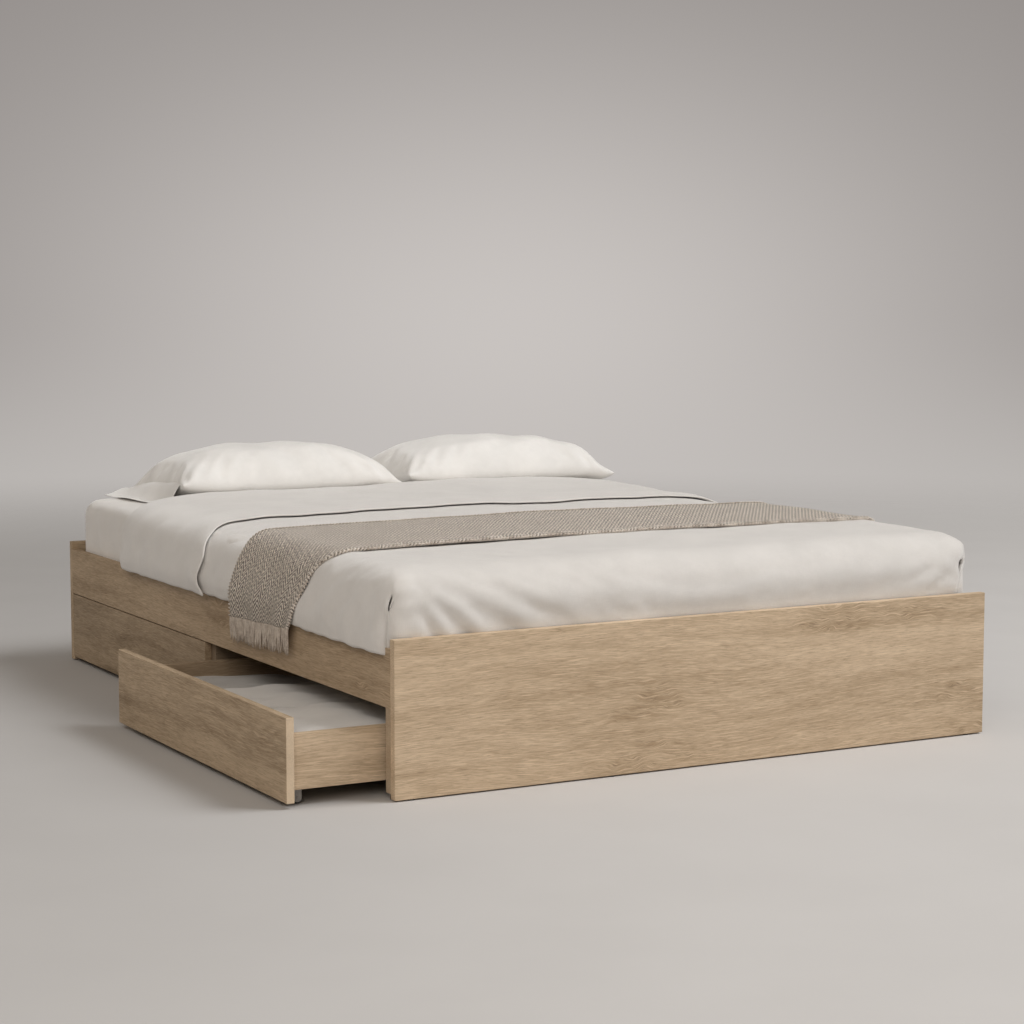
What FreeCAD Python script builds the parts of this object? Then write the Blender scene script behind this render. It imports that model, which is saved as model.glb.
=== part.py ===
import FreeCAD, Part
import os

# Platform bed with four storage drawers, and the mattress and bedding that lie on it.
# Millimetres. The origin is on the floor at the middle of the bed's plan, under the centre foot.
# +Y runs from the foot to the head, +X to the right of someone standing at the foot, +Z up.
# Every "side" below is -1 for the left half and +1 for the right half.

os.makedirs("parts", exist_ok=True)
Vec = FreeCAD.Vector

# ---- driving dimensions: frame -------------------------------------------------------------
bed_width = 1566.0
bed_length = 2124.0
panel_height = 341.0      # head and foot panels
panel_board = 20.0        # thickness of the head and foot panels
panel_lift = 3.0          # thin glides under the panels
board = 18.0              # thickness of rails, spine, head divider and drawer fronts
leg_board = 22.0          # foot divider, whose front edge shows as the foot-end leg
centre_board = 36.0       # centre divider, two boards thick
board_lift = 14.0         # glides under dividers and spine
edge_radius = 1.2         # eased edges of the boards that show
rail_top = 320.0
rail_bottom = 194.0

# ---- driving dimensions: slats and mattress ------------------------------------------------
slat_top = 265.0
slat_thick = 18.0
slat_width = 70.0
slat_count = 14
ledger_width = 25.0
ledger_height = 25.0
mattress_width = 1524.0
mattress_length = 2032.0
mattress_height = 200.0

# ---- driving dimensions: drawers -----------------------------------------------------------
front_gap = 2.5           # shadow gap round a drawer front
front_bottom = 12.0
box_bottom = 36.0
box_top = 154.0
box_board = 15.0
box_depth = 682.0         # from the front's inner face to the box's back face
box_side_room = 18.0      # between a box side and the divider beside it
bottom_board = 10.0
foot_left_open = 225.0    # the foot-left drawer stands pulled out this far
wheel_radius = 13.0
wheel_width = 14.0
axle_radius = 2.0
axle_clearance = 0.05
caster_setback = 4.0      # from the front's inner face to the front caster's plate
caster_plate = (40.0, 34.0, 2.5)

# ---- driving dimensions: bedding -----------------------------------------------------------
soft_gap = 1.5            # air left between a soft solid and what it lies on
duvet_thick = 20.0
duvet_flap = 17.0
duvet_fold_y = 583.0      # where the duvet is folded back
duvet_hem_y = 60.0        # where the folded-back layer ends
throw_thick = 5.0
throw_foot_y = -690.0
throw_head_y = -222.0
throw_end_z = 240.0
pillow_size = (700.0, 444.0, 150.0)
pillow_middles = (-300.0, 414.0)

# ---- places worked out from those ----------------------------------------------------------
half_width = bed_width / 2
half_length = bed_length / 2
rail_inner = half_width - board
panel_inner = half_length - panel_board
slat_bottom = slat_top - slat_thick
spine_face = board / 2
divider_top = slat_bottom - 4.0
front_top = rail_bottom - front_gap

foot_face = -panel_inner + leg_board              # foot divider's face towards the drawers
head_face = panel_inner - board                   # head divider's face towards the drawers
fronts_start = foot_face + front_gap
fronts_end = panel_inner - front_gap
front_width = (fronts_end - fronts_start - front_gap) / 2

# Both bays are equally wide, so the four drawers are alike.
bay_width = (head_face - foot_face - centre_board) / 2
foot_bay = (foot_face, foot_face + bay_width)
head_bay = (head_face - bay_width, head_face)
centre_faces = (foot_bay[1], head_bay[0])
box_width = bay_width - 2 * box_side_room

shapes = {}


# ---- small makers ---------------------------------------------------------------------------
def block(x, y, z):
    """A box between pairs of coordinates, in any order."""
    (x0, x1), (y0, y1), (z0, z1) = (sorted(pair) for pair in (x, y, z))
    return Part.makeBox(x1 - x0, y1 - y0, z1 - z0, Vec(x0, y0, z0))


def eased(solid, radius=edge_radius):
    """The same board with all its edges rounded."""
    return solid.makeFillet(radius, solid.Edges)


def across(side, near, far):
    """The X pair at two distances from the bed's centre plane, on one side of it."""
    return side * near, side * far


def rod(radius, start, end):
    """A round bar from one point to another."""
    path = end - start
    return Part.makeCylinder(radius, path.Length, start, path)


def pan_screw(seat, direction, length, shank=2.1, head=4.0, head_height=2.4):
    """A screw whose head sits on the seat point; direction points into the wood."""
    along = Vec(direction).normalize()
    return rod(head, seat - along * head_height, seat).fuse(rod(shank, seat, seat + along * length))


def drill(node, cutter):
    shapes[node] = shapes[node].cut(cutter)


def side_name(side):
    return "left" if side < 0 else "right"


# ---- end panels, rails, spine and dividers -----------------------------------------------------
def frame_boards():
    for name, sign in (("foot_panel", -1), ("head_panel", 1)):
        shapes[name] = eased(block((-half_width, half_width), (sign * panel_inner, sign * half_length),
                                   (panel_lift, panel_height)))
    shapes["centre_spine"] = block((-spine_face, spine_face), (-panel_inner, panel_inner),
                                   (board_lift, slat_bottom))
    for side in (-1, 1):
        tag = side_name(side)
        shapes["side_rail_" + tag] = eased(block(across(side, rail_inner, half_width),
                                                 (-panel_inner, panel_inner), (rail_bottom, rail_top)))
        # The foot divider comes forward to the rail's outer face below the rail, as a leg.
        leg = block(across(side, spine_face, half_width), (-panel_inner, foot_face),
                    (board_lift, rail_bottom))
        upper = block(across(side, spine_face, rail_inner), (-panel_inner, foot_face),
                      (rail_bottom, divider_top))
        shapes["foot_divider_" + tag] = leg.fuse(upper).removeSplitter()
        shapes["centre_divider_" + tag] = block(across(side, spine_face, rail_inner), centre_faces,
                                                (board_lift, divider_top))
        shapes["head_divider_" + tag] = block(across(side, spine_face, rail_inner),
                                              (head_face, panel_inner), (board_lift, divider_top))


# ---- slats, their ledgers and straps -----------------------------------------------------------
def slat_base():
    slat_margin = 40.0
    slat_end_gap = 2.0
    first = -panel_inner + slat_margin + slat_width / 2
    pitch = -2 * first / (slat_count - 1)
    slats = []
    for i in range(slat_count):
        y = first + i * pitch
        reach = rail_inner - slat_end_gap
        slats.append(eased(block((-reach, reach), (y - slat_width / 2, y + slat_width / 2),
                                 (slat_bottom, slat_top)), 2.0))
    shapes["mattress_slats"] = Part.makeCompound(slats)

    strap_x, strap_width, strap_thick = 420.0, 25.0, 1.2
    shapes["slat_straps"] = Part.makeCompound([
        block((side * strap_x - strap_width / 2, side * strap_x + strap_width / 2),
              (first - slat_width / 2, -first + slat_width / 2), (slat_bottom - strap_thick, slat_bottom))
        for side in (-1, 1)])
    # The ledger is cut round the dividers' upper front corners.
    for side in (-1, 1):
        spans = ((foot_face, centre_faces[0]), (centre_faces[1], head_face))
        shapes["slat_ledger_" + side_name(side)] = Part.makeCompound([
            block(across(side, rail_inner - ledger_width, rail_inner), span,
                  (slat_bottom - ledger_height, slat_bottom)) for span in spans])


# ---- brackets, screws and bolts -----------------------------------------------------------------
def frame_fasteners():
    leg, height, thick, bottom = 30.0, 22.0, 2.5, 197.0
    middle = bottom + height / 2
    bite = 12.0
    brackets, screws = [], []

    def angle_bracket(side, x_face, inwards, y_face, y_way, x_node, y_node):
        """An L bracket in the corner of a board facing X and a board facing Y."""
        x_tip, y_tip = x_face + inwards * leg, y_face + y_way * leg
        x_leg = block((side * x_face, side * x_tip), (y_face, y_face + y_way * thick),
                      (bottom, bottom + height))
        y_leg = block((side * x_face, side * (x_face + inwards * thick)), (y_face, y_tip),
                      (bottom, bottom + height))
        bracket = x_leg.fuse(y_leg).removeSplitter()
        seats = ((Vec(side * (x_face + inwards * leg * 0.62), y_face + y_way * thick, middle),
                  Vec(0, -y_way, 0), y_node),
                 (Vec(side * (x_face + inwards * thick), y_face + y_way * leg * 0.62, middle),
                  Vec(-side * inwards, 0, 0), x_node))
        for seat, way, node in seats:
            screw = pan_screw(seat, way, thick + bite)
            bracket = bracket.cut(screw)
            drill(node, screw)
            screws.append(screw)
        brackets.append(bracket)

    for side in (-1, 1):
        tag = side_name(side)
        corners = ((foot_face, 1, "foot_divider_" + tag), (centre_faces[0], -1, "centre_divider_" + tag),
                   (centre_faces[1], 1, "centre_divider_" + tag), (head_face, -1, "head_divider_" + tag))
        for y_face, y_way, divider in corners:
            angle_bracket(side, rail_inner, -1, y_face, y_way, "side_rail_" + tag, divider)
            angle_bracket(side, spine_face, 1, y_face, y_way, "centre_spine", divider)

        # Screws hold each ledger to its rail.
        ledger = "slat_ledger_" + tag
        for y in (-900.0, -510.0, -120.0, 150.0, 530.0, 900.0):
            seat = Vec(side * (rail_inner - ledger_width), y, slat_bottom - ledger_height / 2)
            screw = pan_screw(seat, Vec(side, 0, 0), ledger_width + bite)
            drill(ledger, screw)
            drill("side_rail_" + tag, screw)
            screws.append(screw)
    shapes["frame_brackets"] = Part.makeCompound(brackets)
    shapes["frame_screws"] = Part.makeCompound(screws)

    # Bolts clamp the end dividers to the head and foot panels, above the drawers.
    bolts = []
    for side in (-1, 1):
        tag = side_name(side)
        for x in (140.0, 400.0, 660.0):
            for divider, face, way, panel, thick_board in (
                    ("foot_divider_" + tag, foot_face, -1, "foot_panel", leg_board),
                    ("head_divider_" + tag, head_face, 1, "head_panel", board)):
                bolt = pan_screw(Vec(side * x, face, middle), Vec(0, way, 0), thick_board + bite,
                                 shank=3.0, head=7.0, head_height=3.5)
                drill(divider, bolt)
                drill(panel, bolt)
                bolts.append(bolt)
    shapes["panel_bolts"] = Part.makeCompound(bolts)


# ---- guides, stops and everything that touches the floor ----------------------------------------
def guides_stops_and_glides():
    guide_thick, guide_low, guide_high = box_side_room - 3.0, 60.0, 90.0
    guides, stops = [], []
    stop_start = half_width - board - box_depth - 2.0
    for side in (-1, 1):
        for low, high in (foot_bay, head_bay):
            guides.append(block(across(side, spine_face, rail_inner - 6.0), (low, low + guide_thick),
                                (guide_low, guide_high)))
            guides.append(block(across(side, spine_face, rail_inner - 6.0), (high - guide_thick, high),
                                (guide_low, guide_high)))
            for y in (low + 200.0, high - 200.0):
                stops.append(block(across(side, spine_face, stop_start), (y - 20.0, y + 20.0),
                                   (100.0, 140.0)))
    shapes["drawer_guides"] = Part.makeCompound(guides)
    shapes["drawer_stops"] = Part.makeCompound(stops)

    def glide(x, y, radius, height):
        return rod(radius, Vec(x, y, 0), Vec(x, y, height))

    glides = [glide(0, y, 9.0, board_lift) for y in (-1000.0, -520.0, 0.0, 520.0, 1000.0)]
    for sign in (-1, 1):
        for x in (-740.0, -250.0, 250.0, 740.0):
            glides.append(glide(x, sign * (half_length - panel_board / 2), 8.0, panel_lift))
    for side in (-1, 1):
        for y, front in ((-panel_inner + leg_board / 2, half_width), (sum(centre_faces) / 2, rail_inner),
                         (panel_inner - board / 2, rail_inner)):
            for x in (front - 13.0, 380.0):
                glides.append(glide(side * x, y, 8.0, board_lift))
    shapes["floor_glides"] = Part.makeCompound(glides)


# ---- drawers ------------------------------------------------------------------------------------
def caster(side, x, y):
    """A fixed twin-ear caster under a drawer bottom: its bracket, axle pin, screws and wheel."""
    length, width, plate = caster_plate
    ear, ear_half = 2.0, 9.0
    inner = wheel_width / 2 + 1.0
    top = box_bottom
    low = top - plate
    centre = Vec(x, y, wheel_radius)
    bracket = block((x - length / 2, x + length / 2), (y - width / 2, y + width / 2), (low, top))
    for way in (-1, 1):
        y_in, y_out = y + way * inner, y + way * (inner + ear)
        bracket = bracket.fuse(block((x - ear_half, x + ear_half), (y_in, y_out), (wheel_radius, low)))
        bracket = bracket.fuse(rod(ear_half, Vec(x, y_in, wheel_radius), Vec(x, y_out, wheel_radius)))
    half_pin = inner + ear
    pin = rod(axle_radius, centre - Vec(0, half_pin, 0), centre + Vec(0, half_pin, 0))
    bracket = bracket.cut(pin).removeSplitter()
    for way in (-1, 1):
        face = centre + Vec(0, way * half_pin, 0)
        pin = pin.fuse(rod(axle_radius + 1.5, face, face + Vec(0, way * 1.2, 0)))

    screws = []
    for way in (-1, 1):
        seat = Vec(x + way * (length / 2 - 5.0), y, low)
        screw = pan_screw(seat, Vec(0, 0, 1), plate + 7.0, shank=1.6, head=3.0, head_height=1.6)
        bracket = bracket.cut(screw)
        screws.append(screw)

    half = wheel_width / 2
    wheel = rod(wheel_radius, centre - Vec(0, half, 0), centre + Vec(0, half, 0))
    wheel = wheel.makeFillet(2.0, [e for e in wheel.Edges if len(e.Vertexes) == 1])
    for way in (-1, 1):
        face = centre + Vec(0, way * half, 0)
        recess = rod(wheel_radius - 3.5, face - Vec(0, way * 2.5, 0), face)
        wheel = wheel.cut(recess.cut(rod(axle_radius + 2.5, face - Vec(0, way * 2.5, 0), face)))
    wheel = wheel.cut(rod(axle_radius + axle_clearance, centre - Vec(0, half, 0), centre + Vec(0, half, 0)))
    return bracket, pin, screws, wheel


def drawer(name, side, bay, front_span, pulled):
    """One drawer, pulled out by the given distance. Its box hangs behind a front that covers the bay."""
    front_out = half_width + pulled
    front_in = front_out - board
    back_out = front_in - box_depth
    low = (bay[0] + bay[1] - box_width) / 2
    high = low + box_width

    shapes[name + "_front"] = eased(block(across(side, front_in, front_out), front_span,
                                          (front_bottom, front_top)))
    shapes[name + "_side_foot"] = eased(block(across(side, back_out, front_in), (low, low + box_board),
                                              (box_bottom, box_top)), 0.8)
    shapes[name + "_side_head"] = eased(block(across(side, back_out, front_in), (high - box_board, high),
                                              (box_bottom, box_top)), 0.8)
    inner = (low + box_board, high - box_board)
    shapes[name + "_back"] = eased(block(across(side, back_out, back_out + box_board), inner,
                                         (box_bottom, box_top)), 0.8)
    bottom = block(across(side, back_out + box_board, front_in), inner,
                   (box_bottom, box_bottom + bottom_board))

    caster_inset = 20.0
    rows = (("front", front_in - caster_setback - caster_plate[0] / 2),
            ("rear", back_out + box_board + caster_setback + caster_plate[0] / 2))
    brackets = []
    for row, distance in rows:
        wheels = []
        for y in (inner[0] + caster_inset, inner[1] - caster_inset):
            bracket, pin, screws, wheel = caster(side, side * distance, y)
            for screw in screws:
                bottom = bottom.cut(screw)
            brackets += [bracket, pin] + screws
            wheels.append(wheel)
        shapes[name + "_" + row + "_wheels"] = Part.makeCompound(wheels)
        print(name, row, "axle at x", round(side * distance, 3), "z", wheel_radius)
    shapes[name + "_bottom"] = bottom
    shapes[name + "_casters"] = Part.makeCompound(brackets)
    return (side * (back_out + box_board), side * front_in), inner


def drawers():
    foot_span = (fronts_start, fronts_start + front_width)
    head_span = (fronts_end - front_width, fronts_end)
    for side in (-1, 1):
        tag = side_name(side)
        pulled = foot_left_open if side < 0 else 0.0
        inside = drawer("drawer_foot_" + tag, side, foot_bay, foot_span, pulled)
        drawer("drawer_head_" + tag, side, head_bay, head_span, 0.0)
        if side < 0:
            stored_linen(inside)


def stored_linen(inside):
    """Folded linen that fills the open drawer to just above the top of its sides."""
    (x_back, x_front), (y_low, y_high) = inside
    margin, top_rise = 9.0, 2.0
    shapes["stored_linen"] = eased(block((x_back - margin, x_front + margin),
                                         (y_low + margin, y_high - margin),
                                         (box_bottom + bottom_board + soft_gap, box_top + top_rise)), 14.0)


# ---- mattress and bedding -------------------------------------------------------------------------
def rounded_slab(outer, y, z, radius, foot_too=False):
    """A slab across the bed with its two long upper edges rounded, and its foot edge if asked."""
    slab = block((-outer, outer), y, z)
    rounded = []
    for edge in slab.Edges:
        ends = [vertex.Point for vertex in edge.Vertexes]
        at_top = all(abs(p.z - max(z)) < 0.1 for p in ends)
        along_side = all(abs(abs(p.x) - outer) < 0.1 for p in ends)
        along_foot = all(abs(p.y - min(y)) < 0.1 for p in ends)
        if at_top and (along_side and ends[0].x == ends[1].x or foot_too and along_foot):
            rounded.append(edge)
    return slab.makeFillet(radius, rounded)


def bedding():
    mattress_top = slat_top + mattress_height
    half_mattress = mattress_width / 2
    mattress = block((-half_mattress, half_mattress), (-mattress_length / 2, mattress_length / 2),
                     (slat_top, mattress_top))
    upright = [e for e in mattress.Edges if abs(e.Vertexes[0].Z - e.Vertexes[1].Z) > 1.0]
    mattress = mattress.makeFillet(55.0, upright)
    flat = [e for e in mattress.Edges if abs(e.BoundBox.ZLength) < 0.01]
    shapes["mattress"] = mattress.makeFillet(18.0, flat)

    # The duvet caps the mattress: two side flaps standing on the rails, a foot flap behind the
    # foot panel, and a second layer on top where it is folded back.
    outer = half_width - 1.0
    duvet_top = mattress_top + soft_gap + duvet_thick
    foot_y = -panel_inner + 1.0
    flap_low = rail_top + 1.0
    corner_round = 34.0
    cap = rounded_slab(outer, (foot_y, duvet_fold_y), (flap_low, duvet_top), corner_round, foot_too=True)
    under = outer - duvet_flap
    cap = cap.cut(block((-under, under), (foot_y + duvet_flap, duvet_fold_y),
                        (flap_low, mattress_top + soft_gap)))
    fold_outer = outer - 22.0
    layer = rounded_slab(fold_outer, (duvet_hem_y, duvet_fold_y), (duvet_top - 6.0, duvet_top + duvet_thick), 16.0)
    shapes["duvet"] = cap.fuse(layer).removeSplitter()

    # The throw lies across the duvet and hangs past both rails.
    throw_inner = half_width + soft_gap
    throw_y = (throw_foot_y, throw_head_y)
    inner_top = duvet_top + soft_gap
    inner_round = corner_round - 8.0
    cloth = rounded_slab(throw_inner + throw_thick, throw_y, (throw_end_z, inner_top + throw_thick),
                         inner_round + throw_thick)
    shapes["throw"] = cloth.cut(rounded_slab(throw_inner, throw_y, (throw_end_z, inner_top), inner_round))

    length, depth, height = pillow_size
    y_low = duvet_fold_y + 6.0
    for side, middle in zip((-1, 1), pillow_middles):
        pillow = block((middle - length / 2, middle + length / 2), (y_low, y_low + depth),
                       (mattress_top + soft_gap, mattress_top + soft_gap + height))
        shapes["pillow_" + side_name(side)] = eased(pillow, 62.0)


frame_boards()
slat_base()
frame_fasteners()
guides_stops_and_glides()
drawers()
bedding()

print("front width", front_width, "bay width", bay_width, "box width", box_width)
for node, shape in shapes.items():
    shape.exportStep("parts/" + node + ".step")
print(len(shapes), "nodes written")
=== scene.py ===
import math

import bmesh
import bpy
import numpy as np
from mathutils import Euler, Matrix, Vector
from mathutils.bvhtree import BVHTree


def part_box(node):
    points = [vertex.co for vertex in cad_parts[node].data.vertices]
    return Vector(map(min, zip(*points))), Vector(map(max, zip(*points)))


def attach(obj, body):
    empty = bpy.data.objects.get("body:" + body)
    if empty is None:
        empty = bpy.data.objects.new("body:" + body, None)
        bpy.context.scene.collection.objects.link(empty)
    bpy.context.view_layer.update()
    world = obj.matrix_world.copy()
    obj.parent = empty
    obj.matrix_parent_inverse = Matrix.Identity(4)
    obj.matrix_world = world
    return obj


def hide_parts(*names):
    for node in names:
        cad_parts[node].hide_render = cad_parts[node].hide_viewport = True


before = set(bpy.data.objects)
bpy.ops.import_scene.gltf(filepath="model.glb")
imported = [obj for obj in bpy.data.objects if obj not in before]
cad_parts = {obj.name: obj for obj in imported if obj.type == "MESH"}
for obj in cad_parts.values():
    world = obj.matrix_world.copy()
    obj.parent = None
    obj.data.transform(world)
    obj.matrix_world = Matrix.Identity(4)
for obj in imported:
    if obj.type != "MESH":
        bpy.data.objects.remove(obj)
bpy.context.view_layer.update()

# Platform bed with storage drawers: materials for the frame and the drawers, and the mattress,
# the bedding and the stored linen. Metres: +Y to the head, +X to the right, +Z up.
scene = bpy.context.scene
scene.view_settings.view_transform = "Standard"
scene.view_settings.look = "None"

mattress_low, mattress_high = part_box("mattress")
rail_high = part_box("side_rail_right")[1]
panel_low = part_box("foot_panel")[0]


# ---- small helpers ----
def smooth(x, low, high):
    t = np.clip((x - low) / (high - low), 0.0, 1.0)
    return t * t * (3 - 2 * t)


def ripple(a, b, size, seed, count=14):
    """Smooth waves of about the given size over two coordinates, roughly from -1 to 1."""
    rng = np.random.default_rng(seed)
    total = np.zeros(np.broadcast(a, b).shape)
    for _ in range(count):
        turn, phase = rng.uniform(0, 2 * math.pi, 2)
        k = 2 * math.pi / size * rng.uniform(0.6, 1.5)
        total = total + np.sin(k * (a * math.cos(turn) + b * math.sin(turn)) + phase)
    return total / math.sqrt(count)


def arc_lengths(points):
    """How far along a line of points each one is."""
    return np.concatenate([[0], np.cumsum(np.linalg.norm(np.diff(points, axis=0), axis=1))])


def smooth_shaded(mesh):
    mesh.polygons.foreach_set("use_smooth", [True] * len(mesh.polygons))
    return mesh


def add_object(name, mesh, body):
    obj = bpy.data.objects.new(name, smooth_shaded(mesh))
    scene.collection.objects.link(obj)
    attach(obj, body)
    return obj


def make_mesh(name, points, faces, uv=None):
    """A mesh from lists of points and faces; uv gives each point's place on the flat cloth, in metres."""
    mesh = bpy.data.meshes.new(name)
    mesh.from_pydata([tuple(p) for p in points], [], [tuple(int(i) for i in f) for f in faces])
    mesh.update()
    if uv is not None:
        layer = mesh.uv_layers.new(name="cloth")
        index = np.empty(len(mesh.loops), np.int32)
        mesh.loops.foreach_get("vertex_index", index)
        layer.data.foreach_set("uv", np.asarray(uv, np.float32)[index].ravel())
    return mesh


def grid_faces(rows, cols, keep=None):
    index = np.arange(rows * cols).reshape(rows, cols)
    quads = np.stack([index[:-1, :-1], index[:-1, 1:], index[1:, 1:], index[1:, :-1]], -1)
    return (quads if keep is None else quads[keep]).reshape(-1, 4)


def compact(faces):
    """The numbers of the points that the faces use, and each one's place among them."""
    used = np.unique(faces)
    renumber = np.zeros(used[-1] + 1, int)
    renumber[used] = np.arange(len(used))
    return used, renumber


def grid_mesh(name, points, uv, keep=None):
    """A mesh of a grid of points, without the cells that keep leaves out."""
    faces = grid_faces(*points.shape[:2], keep)
    used, renumber = compact(faces)
    return make_mesh(name, points.reshape(-1, 3)[used], renumber[faces],
                     uv.reshape(-1, 2)[used]), used


def grid_normals(points):
    along = np.gradient(points, axis=0)
    across = np.gradient(points, axis=1)
    n = np.cross(across, along)
    return n / np.maximum(np.linalg.norm(n, axis=-1, keepdims=True), 1e-12)


def read(items, key):
    """One vector from each item, as rows of an array."""
    values = np.empty(len(items) * 3, np.float32)
    items.foreach_get(key, values)
    return values.reshape(-1, 3).astype(float)


def coords(obj):
    return read(obj.data.vertices, "co")


def set_coords(obj, co):
    obj.data.vertices.foreach_set("co", np.asarray(co, np.float32).ravel())
    obj.data.update()


def normals(obj):
    return read(obj.data.vertex_normals, "vector")


def weigh(obj, name, weights):
    """A vertex group that holds each point's weight."""
    group = obj.vertex_groups.new(name=name)
    for i, weight in enumerate(weights):
        group.add([i], float(weight), "REPLACE")


def apply_modifiers(obj):
    """Turns what the modifiers make into the object's own mesh."""
    graph = bpy.context.evaluated_depsgraph_get()
    mesh = bpy.data.meshes.new_from_object(obj.evaluated_get(graph), depsgraph=graph)
    obj.modifiers.clear()
    obj.data = smooth_shaded(mesh)


def simulate(obj, frames, former=None, pressure=0.0, gravity=1.0, growth=0.0, pinned=None, stiffness=12.0,
             bending=0.4, cap=None):
    """Lets the cloth settle on the former, or swell under pressure, and keeps the result as its mesh."""
    before = coords(obj)
    if former:
        touch = former.modifiers.new("touch", "COLLISION")
        former.collision.thickness_outer, former.collision.cloth_friction = 0.002, 8.0
    cloth = obj.modifiers.new("cloth", "CLOTH")
    settings = cloth.settings
    settings.quality, settings.mass = 6, 0.25
    settings.tension_stiffness = settings.compression_stiffness = settings.shear_stiffness = stiffness
    settings.bending_stiffness = bending
    settings.tension_damping = settings.compression_damping = settings.shear_damping = 12.0
    settings.air_damping = 3.0
    settings.shrink_min = -growth
    settings.effector_weights.gravity = gravity
    if pressure:
        settings.use_pressure, settings.uniform_pressure_force = True, pressure
    if pinned:
        settings.vertex_group_mass = pinned
    cloth.collision_settings.use_collision = former is not None
    cloth.collision_settings.use_self_collision = False
    cloth.collision_settings.distance_min = 0.002
    cloth.collision_settings.collision_quality = 3
    cloth.point_cache.frame_start, cloth.point_cache.frame_end = 1, frames
    for frame_number in range(1, frames + 1):
        scene.frame_set(frame_number)
    graph = bpy.context.evaluated_depsgraph_get()
    settled = obj.evaluated_get(graph).to_mesh()
    move = read(settled.vertices, "co") - before
    obj.evaluated_get(graph).to_mesh_clear()
    obj.modifiers.remove(cloth)
    if former:
        former.modifiers.remove(touch)
    scene.frame_set(1)
    if cap:
        size = np.linalg.norm(move, axis=1, keepdims=True)
        move *= np.minimum(1.0, cap / np.maximum(size, 1e-9))
    print("settled", obj.name, "moved up to", round(float(np.abs(move).max()), 4))
    set_coords(obj, before + move)


def join_around(values, join):
    """Joins each value of a grid with those up to two cells away."""
    rows, cols = values.shape
    padded = np.pad(values, 2, mode="edge")
    return join([padded[a:a + rows, b:b + cols] for a in range(5) for b in range(5)], axis=0)


def lay_over(points, out, obj, gap):
    """Lifts a grid of points along the directions out, wherever it comes nearer than gap to the object."""
    tree = BVHTree.FromObject(obj, bpy.context.evaluated_depsgraph_get())
    need = np.zeros(points.shape[:2])
    for r, c in np.ndindex(need.shape):
        p, n = Vector(points[r, c]), Vector(out[r, c])
        hit = tree.ray_cast(p + n * 0.05, -n, 0.1)[0]
        if hit:
            need[r, c] = max(0.0, (hit - p).dot(n) + gap)
    lift = join_around(join_around(need, np.max), np.mean)
    return points + out * lift[..., None]


def thicken(obj, thickness, subdivisions=1, group=None, thin=0.3, offset=0.0):
    solid = obj.modifiers.new("thickness", "SOLIDIFY")
    solid.thickness, solid.offset = thickness, offset
    solid.use_even_offset = False
    if group:
        solid.vertex_group, solid.thickness_vertex_group = group, thin
    if subdivisions:
        obj.modifiers.new("soft", "SUBSURF").levels = subdivisions
    apply_modifiers(obj)


def rounded_box(low, high, radius, step):
    """Points and faces of a closed box with all its edges and corners rounded."""
    low, high = np.array(low, float), np.array(high, float)
    mid, half = (low + high) / 2, (high - low) / 2
    bm = bmesh.new()
    for axis in range(3):
        a, b = [k for k in range(3) if k != axis]
        na, nb = (max(2, int(round(2 * half[k] / step))) for k in (a, b))
        for sign in (-1, 1):
            ga, gb = np.linspace(-half[a], half[a], na + 1), np.linspace(-half[b], half[b], nb + 1)
            rows = []
            for p in ga:
                row = []
                for q in gb:
                    v = [0.0, 0.0, 0.0]
                    v[axis], v[a], v[b] = sign * half[axis], p, q
                    row.append(bm.verts.new(v))
                rows.append(row)
            for i in range(na):
                for j in range(nb):
                    bm.faces.new((rows[i][j], rows[i + 1][j], rows[i + 1][j + 1], rows[i][j + 1]))
    bmesh.ops.remove_doubles(bm, verts=bm.verts, dist=1e-6)
    bmesh.ops.recalc_face_normals(bm, faces=bm.faces)
    core = half - radius
    for v in bm.verts:
        p = np.array(v.co)
        q = np.clip(p, -core, core)
        d = p - q
        size = np.linalg.norm(d)
        v.co = Vector(mid + q + (d * radius / size if size > 1e-9 else d))
    mesh = bpy.data.meshes.new("box")
    bm.to_mesh(mesh)
    bm.free()
    return mesh


# ---- materials ----
def add_node(tree, kind, inputs, **settings):
    """A node with its settings made, and its inputs linked or set."""
    made = tree.nodes.new(kind)
    for key, value in settings.items():
        setattr(made, key, value)
    for key, value in inputs.items():
        if isinstance(value, bpy.types.NodeSocket):
            tree.links.new(value, made.inputs[key])
        else:
            made.inputs[key].default_value = value
    return made


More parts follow.
